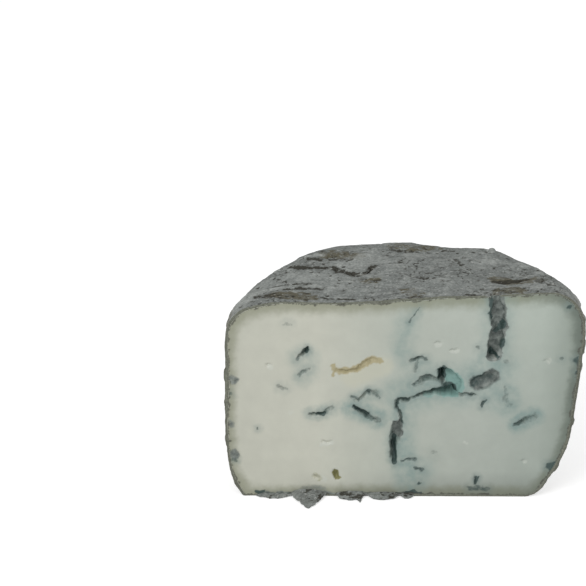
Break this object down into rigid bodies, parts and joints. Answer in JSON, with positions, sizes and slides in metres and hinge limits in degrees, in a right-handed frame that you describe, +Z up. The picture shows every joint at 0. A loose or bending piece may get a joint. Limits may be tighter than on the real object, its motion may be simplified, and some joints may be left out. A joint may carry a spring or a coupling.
{
  "type": "blue goat cheese half",
  "caption": "Half wheel of blue goat cheese, cut upright, with an uneven mouldy rind and a flat cut face that shows a needle channel, a ragged seam and small blue slits.",
  "frame": {"origin": "under the middle of the part's box, on the surface that the half stands on", "axes": "+X to the right along the cut face, +Z up, and the cut face looks along -Y, so +Y runs from it into the cheese"},
  "size_m": [0.1498, 0.0888, 0.0937],
  "materials": {
    "cheese": "satin"
  },
  "bodies": {
    "root": {"cheese_half": "cheese"}
  },
  "joints": []
}
